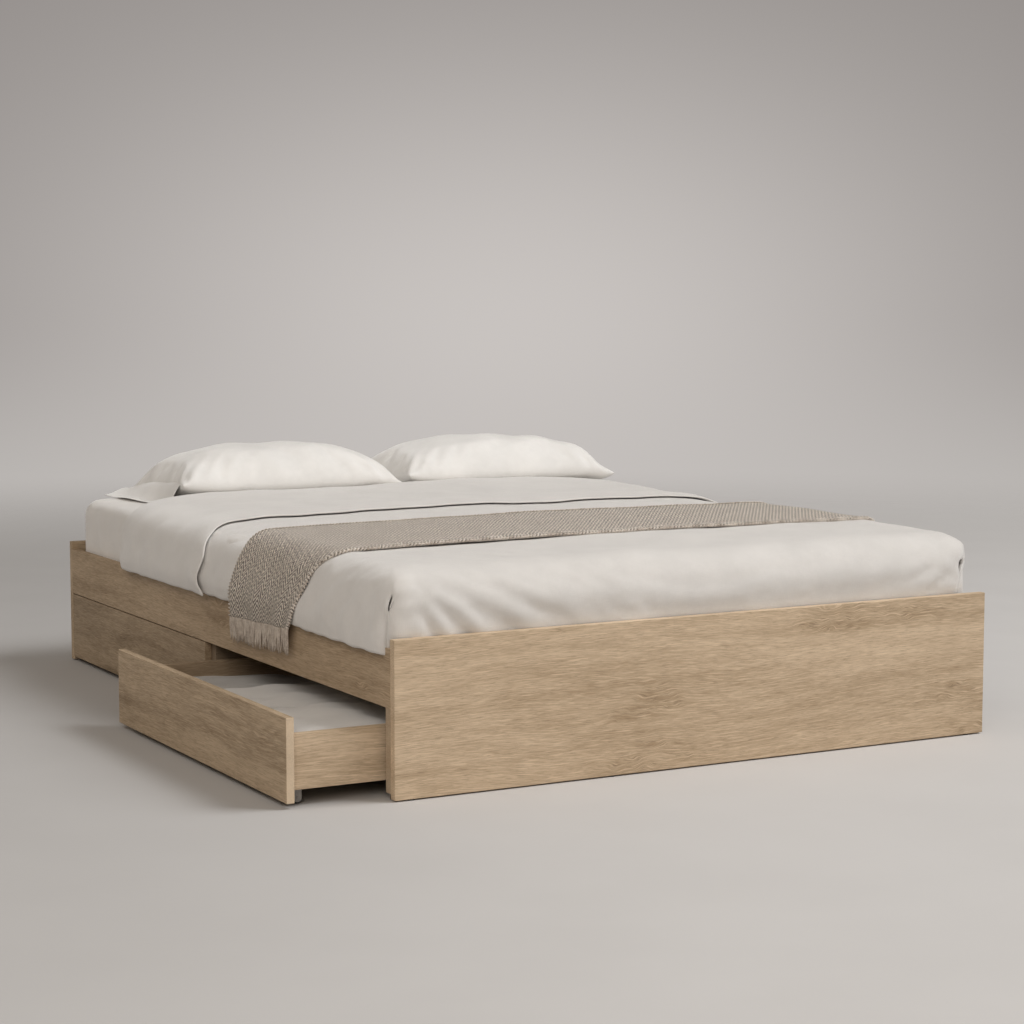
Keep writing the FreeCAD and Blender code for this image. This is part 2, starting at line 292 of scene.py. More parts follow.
class Finish:
    """A procedural material, with short calls for its nodes."""

    def __init__(self, name, roughness, specular=0.5, sheen=0.0, metallic=0.0):
        self.material = bpy.data.materials.new(name)
        self.material.use_nodes = True
        self.tree = self.material.node_tree
        self.shader = self.tree.nodes["Principled BSDF"]
        self.shader.inputs["Roughness"].default_value = roughness
        self.shader.inputs["Specular IOR Level"].default_value = specular
        self.shader.inputs["Metallic"].default_value = metallic
        if sheen:
            self.shader.inputs["Sheen Weight"].default_value = sheen
            self.shader.inputs["Sheen Roughness"].default_value = 0.5

    def node(self, kind, inputs, **settings):
        return add_node(self.tree, kind, inputs, **settings)

    def place(self, uv=False):
        return self.node("ShaderNodeTexCoord", {}).outputs["UV" if uv else "Object"]

    def scaled(self, vector, scale):
        return self.node("ShaderNodeVectorMath", {0: vector, 1: scale}, operation="MULTIPLY").outputs[0]

    def moved(self, vector, by):
        return self.node("ShaderNodeVectorMath", {0: vector, 1: by}, operation="ADD").outputs[0]

    def math(self, operation, a, b=0.0, c=0.0):
        return self.node("ShaderNodeMath", {0: a, 1: b, 2: c}, operation=operation).outputs[0]

    def add(self, first, *others):
        for other in others:
            first = self.math("ADD", first, other)
        return first

    def sub(self, a, b):
        return self.math("SUBTRACT", a, b)

    def mul(self, a, b):
        return self.math("MULTIPLY", a, b)

    def sine(self, a):
        return self.math("SINE", a)

    def noise(self, vector, scale, detail=2.0, roughness=0.5, distortion=0.0):
        """Noise at a scale, or at one for each axis."""
        if isinstance(scale, tuple):
            vector, scale = self.scaled(vector, scale), 1.0
        inputs = {"Vector": vector, "Scale": scale, "Detail": detail, "Roughness": roughness,
                  "Distortion": distortion}
        return self.node("ShaderNodeTexNoise", inputs).outputs["Fac"]

    def ramp(self, value, low, high, to_low=0.0, to_high=1.0):
        return self.node("ShaderNodeMapRange", {0: value, 1: low, 2: high, 3: to_low, 4: to_high},
                         interpolation_type="SMOOTHSTEP").outputs[0]

    def mix(self, factor, a, b, blend="MIX"):
        colour = [(*c, 1.0) if isinstance(c, tuple) else c for c in (a, b)]
        return self.node("ShaderNodeMix", {0: factor, 6: colour[0], 7: colour[1]},
                         data_type="RGBA", blend_type=blend).outputs[2]

    def split(self, vector):
        return self.node("ShaderNodeSeparateXYZ", {0: vector}).outputs

    def join(self, x, y, z):
        return self.node("ShaderNodeCombineXYZ", {0: x, 1: y, 2: z}).outputs[0]

    def finish(self, colour=None, roughness=None, height=None, depth=0.001, strength=1.0):
        """Links what varies over the surface to the shader. The height is in units of depth, in metres."""
        if colour is not None:
            self.tree.links.new(colour, self.shader.inputs["Base Color"])
        if roughness is not None:
            self.tree.links.new(roughness, self.shader.inputs["Roughness"])
        if height is not None:
            bump = self.node("ShaderNodeBump", {"Strength": strength, "Distance": depth, "Height": height})
            self.tree.links.new(bump.outputs[0], self.shader.inputs["Normal"])
        return self.material


def oak(name, grain, light=(0.78, 0.616, 0.440), dark=(0.445, 0.325, 0.208), seed=0.0, knots=0.56,
        end_face_highlight=0.0):
    """Oak decor whose grain runs along the given axis: bands, fine streaks, and swirls with pale threads."""
    f = Finish(name, 0.6, specular=0.2)
    x, y, z = f.split(f.moved(f.place(), (seed, seed * 1.7, seed * 0.6)))
    along, across, depth = {"X": (x, z, y), "Y": (y, z, x)}[grain]
    base = f.join(along, across, depth)

    def shift(scale, amount):
        return f.mul(f.sub(f.noise(base, scale, detail=1.5), 0.5), amount)

    # The lines run nearly straight, but curl round the few knotty places.
    knotty = f.ramp(f.noise(base, (2.3, 8.5, 8.5)), knots, knots + 0.14)
    curl = f.mul(knotty, shift((13.0, 24.0, 24.0), 0.055))
    bent = f.add(across, shift((1.5, 3.0, 3.0), 0.05), curl)
    p = f.join(along, bent, depth)
    bands = f.noise(p, (0.9, 13.0, 13.0), detail=2.5, roughness=0.6)
    clouds = f.noise(p, (6.0, 55.0, 55.0))
    streaks = f.noise(p, (26.0, 420.0, 420.0), detail=3.0, roughness=0.7)
    hairs = f.ramp(f.noise(p, (30.0, 640.0, 640.0), roughness=0.6), 0.55, 0.65)
    pale = f.ramp(f.noise(f.moved(p, (3.0, 1.0, 2.0)), (17.0, 330.0, 330.0)), 0.56, 0.64)

    tone = f.add(f.mul(f.ramp(bands, 0.30, 0.70), 0.42), f.mul(f.ramp(clouds, 0.32, 0.68), 0.22),
                 f.mul(f.ramp(streaks, 0.34, 0.64), 0.36))
    tone = f.sub(tone, f.mul(knotty, 0.26))
    colour = f.mix(tone, dark, light)
    colour = f.mix(f.mul(hairs, f.math("MULTIPLY_ADD", knotty, 0.30, 0.36)), colour,
                   tuple(c * 0.55 for c in dark))
    colour = f.mix(f.mul(pale, f.math("MULTIPLY_ADD", knotty, 0.12, 0.36)), colour,
                   tuple(min(1.0, c * 1.15) for c in light))
    if end_face_highlight:
        # Painted highlight: the faces at the board's two ends are made paler, standing in for the light they
        # catch.
        facing = f.split(f.node("ShaderNodeTexCoord", {}).outputs["Normal"])["XYZ".index(grain)]
        painted_highlight = f.ramp(f.math("ABSOLUTE", facing), 0.6, 0.8, 0.0, end_face_highlight)
        colour = f.mix(painted_highlight, colour, (0.90, 0.73, 0.54))
    height = f.sub(f.mul(streaks, 0.6), f.mul(hairs, 0.6))
    return f.finish(colour, f.ramp(streaks, 0.3, 0.7, 0.62, 0.48), height, depth=0.0004, strength=0.5)


def cotton(name, colour, weave=0.0011, loft=0.0, uv=False, sheen=0.25):
    """Plain-woven cotton: fine crossing threads, slubs, and a slight unevenness of tone."""
    f = Finish(name, 0.86, specular=0.2, sheen=sheen)
    place = f.place(uv)
    x, y, z = f.split(place)
    if not uv:
        # Threads along X and Y on the top, and up the sides.
        y = f.add(y, f.mul(z, 0.8))
        x = f.add(x, f.mul(z, 0.6))
    rate = 2 * math.pi / weave
    threads = f.mul(f.sine(f.mul(x, rate)), f.sine(f.mul(y, rate)))
    flat = f.join(x, y, 0.0)
    slubs = f.add(f.noise(flat, (60.0, 700.0, 1.0)), f.noise(flat, (700.0, 60.0, 1.0)))
    patches = f.noise(place, scale=9.0, detail=3.0, roughness=0.6)
    tone = f.add(f.mul(patches, 0.6), f.mul(slubs, 0.22))
    shade = tuple(c * 0.93 for c in colour)
    tint = f.mix(f.ramp(tone, 0.38, 0.66), shade, tuple(min(1.0, c * 1.02) for c in colour))
    height = f.add(f.mul(threads, 0.25), slubs)
    if loft:
        crease = f.noise(place, scale=26.0, detail=3.0, roughness=0.55)
        height = f.add(height, f.mul(crease, loft))
    return f.finish(tint, None, height, depth=0.00055, strength=0.8)


def herringbone(name):
    """Taupe and cream threads in zigzag columns, from the place on the flat cloth in metres."""
    f = Finish(name, 0.92, specular=0.15, sheen=0.35)
    place = f.place(True)
    along, across, _ = f.split(place)
    column, pitch, thread_pitch = 0.0215, 0.0102, 0.0036
    fold = f.mul(f.math("PINGPONG", across, column), 0.9)
    shaky = f.mul(f.noise(place, scale=90.0, detail=3.0, roughness=0.65), 0.0085)
    twill = f.sine(f.mul(f.add(along, fold, shaky), 2 * math.pi / pitch))
    cross, thread = (f.sine(f.mul(way, 2 * math.pi / thread_pitch)) for way in (across, along))
    grain = f.noise(place, scale=320.0)
    patches = f.noise(place, scale=14.0)
    heather = f.noise(place, (230.0, 42.0, 1.0), roughness=0.7)
    mottle = f.add(f.sub(grain, 0.5), f.mul(f.sub(heather, 0.5), 3.0))
    light = f.ramp(f.add(twill, mottle), -0.50, 0.22)
    colour = f.mix(light, (0.085, 0.062, 0.046), (0.97, 0.865, 0.75))
    colour = f.mix(f.ramp(patches, 0.35, 0.7, 0.0, 0.22), colour, (0.36, 0.30, 0.25))
    height = f.add(f.mul(twill, 0.8), f.mul(cross, 0.2), f.mul(thread, 0.2))
    return f.finish(colour, None, height, depth=0.0016, strength=1.0)


def yarn(name, light, dark):
    """Twisted yarn, for the throw's fringe and stitched edges."""
    f = Finish(name, 0.9, specular=0.15, sheen=0.3)
    place = f.place()
    twist = f.noise(place, scale=420.0, distortion=1.0)
    tufts = f.noise(place, scale=60.0)
    colour = f.mix(f.ramp(f.add(f.mul(twist, 0.5), f.mul(tufts, 0.5)), 0.35, 0.62),
                   dark, light)
    return f.finish(colour, None, twist, depth=0.0006)


def metal(name, colour, roughness, metallic=1.0):
    """Plated or painted steel with faint rolling marks."""
    f = Finish(name, roughness, metallic=metallic)
    place = f.place()
    marks = f.noise(place, (40.0, 900.0, 900.0), detail=3.0)
    spots = f.noise(place, scale=55.0, detail=3.0)
    tint = f.mix(f.ramp(spots, 0.3, 0.75), tuple(c * 0.86 for c in colour), colour)
    return f.finish(tint, f.ramp(marks, 0.3, 0.7, roughness - 0.07, roughness + 0.1), marks, depth=0.0001)


def plastic(name, colour, roughness):
    """Moulded plastic with a fine leather-like grain."""
    f = Finish(name, roughness)
    place = f.place()
    grain = f.noise(place, scale=700.0)
    tint = f.mix(f.ramp(f.noise(place, scale=30.0), 0.3, 0.7), colour, tuple(c * 1.25 for c in colour))
    return f.finish(tint, None, grain, depth=0.00015)


def webbing(name, colour):
    """Woven tape: ribs across it and fine threads along it."""
    f = Finish(name, 0.8, specular=0.2, sheen=0.2)
    place = f.place()
    x, y, _ = f.split(place)
    ribs = f.sine(f.mul(y, 2 * math.pi / 0.0022))
    threads = f.sine(f.mul(x, 2 * math.pi / 0.0012))
    tint = f.mix(f.ramp(ribs, -1.0, 1.0), tuple(c * 0.82 for c in colour), colour)
    return f.finish(tint, None, f.add(ribs, f.mul(threads, 0.4)), depth=0.0003)


oak_panel = oak("oak_panel", "X", seed=0.37)
# Painted shade: the side rails' oak is darker than the foot panel's, standing in for the shade on their
# left-facing faces.
oak_side_painted_shade = oak("oak_side_painted_shade", "Y", light=(0.60, 0.462, 0.320), dark=(0.32, 0.228, 0.141), seed=1.9, knots=0.53)
# Painted shade: the foot drawers' fronts are darker than the foot panel, standing in for the shade on their
# left-facing faces.
oak_front_painted_shade = oak("oak_front_painted_shade", "Y", light=(0.60, 0.464, 0.32), dark=(0.29, 0.207, 0.128), seed=5.3,
                knots=0.53, end_face_highlight=0.55)
# Painted shade: the head drawers' fronts are darker still, standing in for the shade that falls on them
# beside the open foot drawer.
oak_front_far_painted_shade = oak("oak_front_far_painted_shade", "Y", light=(0.51, 0.392, 0.27), dark=(0.245, 0.174, 0.107), seed=7.4,
                    knots=0.53)
oak_box = oak("oak_drawer_box", "X", seed=3.1)
# Painted shade: the drawers' head-side boards are darker, standing in for the shade inside the drawer bays.
oak_box_painted_shade = oak("oak_drawer_side_painted_shade", "X", light=(0.50, 0.385, 0.27), dark=(0.27, 0.197, 0.128), seed=4.4)
oak_box_back = oak("oak_drawer_back", "Y", seed=8.2)
oak_hidden = oak("oak_carcass", "X", light=(0.54, 0.43, 0.31), dark=(0.36, 0.26, 0.17), seed=2.2)
# Painted shade: the centre dividers are dark brown, standing in for the shade on their front edges between
# the drawers.
oak_painted_shade = oak("oak_divider_painted_shade", "X", light=(0.31, 0.24, 0.17), dark=(0.19, 0.14, 0.095), seed=2.7)
# Painted shade: the head panel's oak is darker than the foot panel's, standing in for the shade it stands in
# at the far end.
oak_head_panel_shade = oak("oak_head_panel_painted_shade", "X", light=(0.63, 0.49, 0.34), dark=(0.35, 0.252, 0.16), seed=6.1)
oak_spine = oak("oak_spine", "Y", light=(0.54, 0.43, 0.31), dark=(0.36, 0.26, 0.17), seed=6.4)
bottom_foil = oak("drawer_bottom_foil", "Y", light=(0.66, 0.56, 0.44), dark=(0.50, 0.40, 0.29), seed=4.0)
pine = oak("slat_pine", "X", light=(0.72, 0.56, 0.36), dark=(0.58, 0.41, 0.23), seed=9.1)
zinc = metal("zinc_plated_steel", (0.60, 0.60, 0.59), 0.34)
caster_paint = metal("caster_bracket_steel", (0.33, 0.315, 0.295), 0.45, 0.45)
nylon = plastic("wheel_nylon", (0.035, 0.035, 0.036), 0.45)
black = plastic("glide_plastic", (0.028, 0.028, 0.028), 0.5)
tape = webbing("slat_tape", (0.66, 0.65, 0.61))

finishes = {
    "foot_panel": oak_panel, "head_panel": oak_head_panel_shade, "side_rail_left": oak_side_painted_shade, "side_rail_right": oak_side_painted_shade,
    "centre_spine": oak_spine, "slat_ledger_left": pine, "slat_ledger_right": pine, "mattress_slats": pine,
    "slat_straps": tape, "frame_brackets": zinc, "frame_screws": zinc, "panel_bolts": zinc,
    "drawer_guides": black, "drawer_stops": black, "floor_glides": black}
drawer_finishes = {
    "side_foot": oak_box, "side_head": oak_box_painted_shade, "back": oak_box_back, "bottom": bottom_foil,
    "casters": caster_paint, "front_wheels": nylon, "rear_wheels": nylon}
for hand in ("left", "right"):
    finishes[f"centre_divider_{hand}"] = oak_painted_shade
    for end, front in (("foot", oak_front_painted_shade), ("head", oak_front_far_painted_shade)):
        finishes[f"{end}_divider_{hand}"] = oak_hidden
        for part, material in {"front": front, **drawer_finishes}.items():
            finishes[f"drawer_{end}_{hand}_{part}"] = material
for node, material in finishes.items():
    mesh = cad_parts[node].data
    mesh.materials.clear()
    mesh.materials.append(material)

duvet_cotton = cotton("duvet_washed_cotton", (0.80, 0.772, 0.740), uv=True, loft=0.5, sheen=0.8)
pillow_cotton = cotton("pillow_percale", (0.955, 0.935, 0.905), loft=0.4, sheen=0.8)
sheet_cotton = cotton("sheet_percale", (0.85, 0.815, 0.775), loft=0.4, sheen=0.8)
linen_cotton = cotton("stored_cotton", (0.80, 0.785, 0.765), loft=0.5, sheen=0.5)
# Painted shade: the head stack's cotton is darker, standing in for the shadow under the rail deep in the
# drawer.
linen_painted_shade = cotton("stored_cotton_painted_shade", (0.47, 0.45, 0.43), loft=0.5, sheen=0.5)
ticking = cotton("mattress_ticking", (0.78, 0.76, 0.72), weave=0.003, loft=0.8)
throw_weave = herringbone("throw_herringbone")
fringe_yarn = yarn("throw_fringe_yarn", (0.66, 0.585, 0.51), (0.40, 0.335, 0.28))
stitch_yarn = yarn("throw_edge_yarn", (0.90, 0.84, 0.77), (0.50, 0.43, 0.37))


# ---- mattress and fitted sheet ----
def soft_object(name, mesh, material, body="bed_frame"):
    obj = add_object(name, mesh, body)
    obj.data.materials.append(material)
    return obj


inset = 0.002
mattress = soft_object("mattress_body", rounded_box(
    [c + inset for c in mattress_low], [c - inset for c in mattress_high], 0.042, 0.022),
    ticking)
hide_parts("mattress")


def make_fitted_sheet():
    """The mattress's cover: over its top and down its sides, with soft pulls beside its corners."""
    mesh = rounded_box(mattress_low, mattress_high, 0.044, 0.016)
    bm = bmesh.new()
    bm.from_mesh(mesh)
    hem_z = mattress_low.z + 0.012
    bmesh.ops.delete(bm, geom=[f for f in bm.faces if f.calc_center_median().z < hem_z], context="FACES")
    bm.to_mesh(mesh)
    bm.free()
    obj = soft_object("fitted_sheet", mesh, sheet_cotton)
    co, n = coords(obj), normals(obj)
    half_x, half_y = mattress_high.x, mattress_high.y
    x, y, z = co.T
    side = smooth(np.abs(x), half_x - 0.05, half_x - 0.01)
    end = smooth(np.abs(y), half_y - 0.05, half_y - 0.01)
    height = smooth(z, rail_high.z - 0.005, rail_high.z + 0.03)
    to_corner = np.exp(-((half_y - np.abs(y)) / 0.22) ** 2)
    pulls = np.sin((np.abs(y) - half_y + (mattress_high.z - z) * 0.45) * 2 * math.pi / 0.085)
    bulge = side * height * (0.0018 * pulls * to_corner + 0.0016 * ripple(y, z * 0.3, 0.16, 4))
    bulge += end * height * 0.0014 * ripple(x, z * 0.3, 0.15, 5)
    bulge += (1 - side) * (1 - end) * 0.0012 * ripple(x, y, 0.22, 6)
    set_coords(obj, co + n * (0.0012 + np.maximum(bulge, -0.0008))[:, None])
    thicken(obj, 0.0012, 0, offset=-1.0)


make_fitted_sheet()

# ---- duvet ----
duvet_thick = 0.010
duvet_side = rail_high.x - 0.006          # middle of the cloth on a side
duvet_top = mattress_high.z + 0.0145
duvet_foot = panel_low.y + 0.027          # middle of the cloth behind the foot panel
side_round, foot_round = 0.072, 0.088
side_start, foot_start = duvet_side - side_round, -duvet_foot - foot_round
flap_end_z = rail_high.z - 0.006          # lower edge of the side flaps, over the rails' outer edges
duvet_reach = duvet_top - flap_end_z
flap_stand_off = 0.0135                   # how far a side flap's lower part stands out
left_corner, right_corner = 0.016, 0.085  # radii of the foot corners, seen from above
fold_y, hem_y = 0.583, 0.060              # where the duvet is folded back, and where that layer ends
layer_gap = 0.0120                        # between the middles of the two layers
fold_length = 0.03                        # cloth in the fold itself


def roll_over(excess, radius):
    """How far out and how far down a cloth is, past the start of an edge that it rolls over."""
    arc = radius * math.pi / 2
    turn = np.clip(excess, 0.0, arc) / radius
    out = np.where(excess < 0, excess, radius * np.sin(turn))
    return out, radius * (1 - np.cos(turn)) + np.maximum(excess - arc, 0.0)


def crown(across, start):
    """How far the bedding rises towards the middle of the bed."""
    return 0.006 * (1 - np.clip(np.abs(across) / start, 0, 1) ** 2.2)


def duvet_point(u, v):
    """The lower layer's place for a place on the flat cloth: u across, v towards the foot."""
    out_x, down_x = roll_over(np.abs(u) - side_start, side_round)
    out_y, down_y = roll_over(v - foot_start, foot_round)
    x, y = side_start + out_x, foot_start + out_y
    down = np.hypot(down_x, down_y)
    top = duvet_top + crown(u, side_start) * (1 - smooth(v, 0.75, foot_start))
    # Side flaps end on the rails, the foot flap ends behind the foot panel.
    scallops = 0.0014 * (1 + np.sin(v * 78.0 + 1.5 * np.sin(v * 19.0)))
    low = np.where(down_x > down_y, flap_end_z + scallops - 0.012 * smooth(v, 0.30, 0.75),
                   rail_high.z + 0.012)
    share = np.clip(down / duvet_reach, 0, 1)
    # Towards the head the shoulders are rounder.
    shoulder = np.interp(np.abs(u), [0.54, 0.60, 0.65, 0.70, 0.74, 0.78, 0.85],
                         [0, 0.0025, 0.007, 0.012, 0.017, 0.013, 0])
    z = top - share * (top - low) - shoulder * (1 - smooth(v, 0.10, 0.45))
    # A side flap swells over the rail's edge, and the edges at the slit lean towards each other.
    flap = smooth(down_x, 0.03, 0.10)
    wave = 0.0016 * np.sin(v * 23.0) + 0.0012 * np.sin(v * 51.0 + 1.0)
    x = x + flap * (0.003 * np.sin(share * math.pi) + (flap_stand_off + wave) * smooth(share, 0.30, 0.86))
    # The side flap's edge laps over the foot flap's edge at the slit.
    foot_flap = smooth(down_y, 0.03, 0.10)
    at_slit = flap * smooth(v, foot_start + 0.010, foot_start + 0.076)
    y = y + at_slit * (-duvet_foot + np.where(u > 0, 0.0045, -0.012) - y)
    x = x + at_slit * (0.0022 * np.sin(share * 17.0 + 0.4) + np.where(u > 0, 0.004, 0.003))
    # At the right foot corner the side flap turns round behind the foot flap's edge.
    wrap = (u > 0) * flap * smooth(v, foot_start + 0.030, foot_start + 0.098)
    x = x + wrap * (duvet_side - 0.052 - x)
    # At the left one the foot flap's edge turns round the corner, under the side flap.
    left_edge = (u < 0) * foot_flap * (1 - flap)
    x = x + left_edge * smooth(np.abs(u), side_start + 0.010, side_start + 0.060) * (duvet_side - 0.003 - x)
    y = y - 0.018 * left_edge * smooth(np.abs(u), side_start + 0.040, side_start + 0.065)
    # The right foot corner is rounder than the left one.
    corner = np.where(u > 0, right_corner, left_corner)
    into_x, into_y = x - (duvet_side - corner), y - (-duvet_foot - corner)
    far = np.hypot(np.maximum(into_x, 0), np.maximum(into_y, 0))
    pull = np.where((into_x > 0) & (into_y > 0) & (far > corner), corner / np.maximum(far, 1e-9), 1.0)
    x = np.where(into_x > 0, duvet_side - corner + into_x * pull, x)
    y = np.where(into_y > 0, -duvet_foot - corner + into_y * pull, y)
    return np.stack([np.sign(u) * x, -y, z], -1)


def make_duvet():
    cell = 0.0165
    half_width = side_start + side_round * math.pi / 2 + duvet_reach - side_round
    length = foot_start + foot_round * math.pi / 2 + duvet_reach - foot_round
    cols = 2 * int(half_width / cell) + 1
    u = np.linspace(-half_width, half_width, cols)
    lower_v = np.linspace(length, -fold_y, int((length + fold_y) / cell))
    # The edge at the fold draws in on its way down the sides.
    uu, vv = np.meshgrid(u, lower_v)
    draw = 0.035 * smooth(np.abs(uu), 0.70, half_width) - 0.006 - 0.004 * np.sin(uu * 5.0)
    vv = vv + draw * smooth(-vv, 0.25, fold_y)
    lower = duvet_point(uu, vv)

    # The foot corners are cut out below the start of the slit.
    past_x, past_y = np.abs(u)[None, :] - side_start, lower_v[:, None] - foot_start
    cut = np.where(u > 0, (past_x > side_round * 0.20) & (past_y > foot_round * 1.12),
                   (past_x > side_round * 0.90) & (past_y > foot_round * 0.86))
    keep = ~(cut[:-1, :-1] & cut[1:, :-1] & cut[:-1, 1:] & cut[1:, 1:])
    cut_area = float((~keep).sum() * (u[1] - u[0]) * (lower_v[0] - lower_v[1]))
    settle_uv = np.stack([uu, vv], -1)
    mesh, used = grid_mesh("lower_layer", lower, settle_uv, keep)
    layer = add_object("lower_layer", mesh, "bed_frame")
    low_edge = np.maximum(smooth(np.abs(uu), half_width - 0.030, half_width - 0.004),
                          smooth(vv, length - 0.045, length - 0.020))
    low_edge = np.maximum(low_edge, smooth(np.abs(uu), side_start + 0.01, side_start + side_round)
                          * smooth(vv, foot_start + 0.01, foot_start + foot_round * 0.8))
    weigh(layer, "pins", np.where(low_edge > 0.01, low_edge, 0.0).reshape(-1)[used])
    below = lower - outward(lower) * duvet_thick * 0.45
    former = add_object("former", grid_mesh("former", below, settle_uv)[0], "bed_frame")
    simulate(layer, 22, former, growth=0.008, pinned="pins", cap=0.006)
    flat = lower.reshape(-1, 3)
    flat[used] = coords(layer)
    for helper in (layer, former):
        bpy.data.objects.remove(helper)

    # The folded-back layer lies on the lower one; its hem wanders down the sides.
    upper_v = np.linspace(-fold_y, -hem_y, int((fold_y - hem_y) / cell))
    un, vn = np.meshgrid(u, upper_v)
    knots_u = [0.0, 0.69, 0.735, 0.775, 0.81, 0.845, 0.875, half_width]
    knots_y = [0.000, -0.006, -0.028, -0.064, -0.089, -0.086, -0.084, -0.118]
    hem_shift = np.interp(np.abs(un), knots_u, knots_y) + 0.004 * np.sin(un * 7.0 + 1.0)
    at = vn - hem_shift * smooth(vn, -0.30, -hem_y)
    at += draw[-1] * smooth(-vn, 0.25, fold_y)
    base = np.empty(un.shape + (3,))
    for c in range(cols):
        rows_v = vv[::-1, c]
        for k in range(3):
            base[:, c, k] = np.interp(at[:, c], rows_v, lower[::-1, c, k])
    out = outward(base)
    side_share = smooth(np.abs(un), 0.70, 0.82)
    to_fold, to_hem = smooth(-vn, 0.25, fold_y), smooth(vn, -hem_y - 0.07, -hem_y)
    offset = layer_gap + (0.002 + to_fold * 0.007) * (1 - side_share)
    offset = offset + (0.0090 * side_share - 0.0030) * to_hem
    offset = offset + (1 - to_hem) * 0.0010 * ripple(un, vn, 0.24, 17)
    upper = base + out * offset[..., None]
    # The fold itself is a half turn between the two layers.
    turns = []
    way = np.array([0.0, 1.0, 0.0])
    for angle in np.linspace(0, math.pi, 7)[1:-1]:
        turns.append(lower[-1] + out[0] * (offset[0] / 2 * (1 - math.cos(angle)))[:, None]
                     + way * (offset[0] * 0.62 * math.sin(angle))[:, None])
    points = np.concatenate([lower, np.array(turns), upper])
    step_back = fold_y + np.arange(1, len(turns) + 1) * 0.004
    flat_v = np.concatenate([-lower_v, step_back, fold_y + fold_length + (upper_v + fold_y)])
    uv = np.stack(np.broadcast_arrays(u[None, :], flat_v[:, None]), -1)
    whole = np.ones((len(points) - 1, cols - 1), bool)
    whole[:len(keep)] = keep
    mesh, used = grid_mesh("duvet_quilt", points, uv, whole)
    obj = soft_object("duvet_quilt", mesh, duvet_cotton)

    # Thin at the hem, full elsewhere.
    to_end = (len(points) - 1 - np.arange(len(points)))[:, None] * cell + np.zeros((1, cols))
    weigh(obj, "loft", smooth(to_end, -0.012, 0.05).reshape(-1)[used])
    return obj, half_width, length, cut_area


def outward(points):
    """Normals of the bedding's grid, away from the mattress."""
    n = grid_normals(points)
    return n if n[n.shape[0] // 2, n.shape[1] // 2, 2] > 0 else -n


duvet, duvet_half_width, duvet_length, duvet_cut_area = make_duvet()


def pull_lines(across, down, pulls):
    """Ridges with a hollow beside each: (from across, down, to across, down, width, height)."""
    total = np.zeros_like(across)
    for a0, d0, a1, d1, width, height in pulls:
        length = math.hypot(a1 - a0, d1 - d0)
        ca, cd = (a1 - a0) / length, (d1 - d0) / length
        t = ((across - a0) * ca + (down - d0) * cd) / length
        off = (down - d0) * ca - (across - a0) * cd + 0.010 * np.sin(t * 2.6)
        ridge = np.exp(-(off / width) ** 2) - 0.7 * np.exp(-((off - width * 1.5) / width) ** 2)
        total += height * ridge * smooth(t, -0.05, 0.25) * (1 - smooth(t, 0.8, 1.2))
    return total


def shape_duvet(obj):
    """Soft hollows all over, and the pulls that run from the foot corners."""
    co, n = coords(obj), normals(obj)
    core = np.clip(co, (-side_start, duvet_foot + foot_round, -1.0),
                   (side_start, 1.0, duvet_top - side_round))
    n = n * np.where(np.sum(n * (co - core), axis=1, keepdims=True) < 0, -1.0, 1.0)
    x, y, z = co.T
    top = smooth(z, duvet_top - 0.03, duvet_top - 0.005)
    foot_face = smooth(-y, -duvet_foot - 0.06, -duvet_foot - 0.015)
    foot_face = foot_face * smooth(duvet_side - np.abs(x), 0.002, 0.02)
    side_face = smooth(np.abs(x), duvet_side - 0.03, duvet_side - 0.004)
    free = smooth(z, rail_high.z, rail_high.z + 0.05)
    move = top * (0.0024 * ripple(x, y, 0.46, 11) + 0.0009 * ripple(x, y, 0.17, 12))
    hangs = 0.0024 * ripple(y, z * 0.35, 0.17, 13) + 0.0012 * ripple(y, z * 0.4, 0.07, 14)
    move += side_face * free * hangs
    move += foot_face * 0.0012 * ripple(x, z, 0.22, 15)
    move += foot_face * pull_lines(duvet_side + x, duvet_top - z, (
        (0.010, 0.020, 0.072, 0.165, 0.0095, 0.0090), (0.018, 0.012, 0.135, 0.160, 0.0110, 0.0105),
        (0.030, 0.004, 0.215, 0.150, 0.0125, 0.0100), (0.050, -0.006, 0.320, 0.130, 0.015, 0.0075),
        (0.100, -0.010, 0.450, 0.115, 0.020, 0.0042)))
    move += foot_face * pull_lines(duvet_side - x, duvet_top - z, (
        (0.060, 0.030, 0.170, 0.140, 0.014, 0.0045), (0.090, 0.010, 0.250, 0.130, 0.016, 0.0035),
        (0.140, 0.000, 0.340, 0.110, 0.020, 0.0022)))
    foot_left = side_face * free * (x < 0)
    move += foot_left * pull_lines(-duvet_foot + y, duvet_top - z, (
        (0.030, 0.010, 0.120, 0.150, 0.018, 0.0065), (0.060, 0.000, 0.210, 0.145, 0.022, 0.0075),
        (0.120, 0.000, 0.320, 0.140, 0.026, 0.0055)))
    set_coords(obj, co + n * move[:, None])


shape_duvet(duvet)
thicken(duvet, duvet_thick, 1, "loft", 0.4)
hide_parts("duvet")


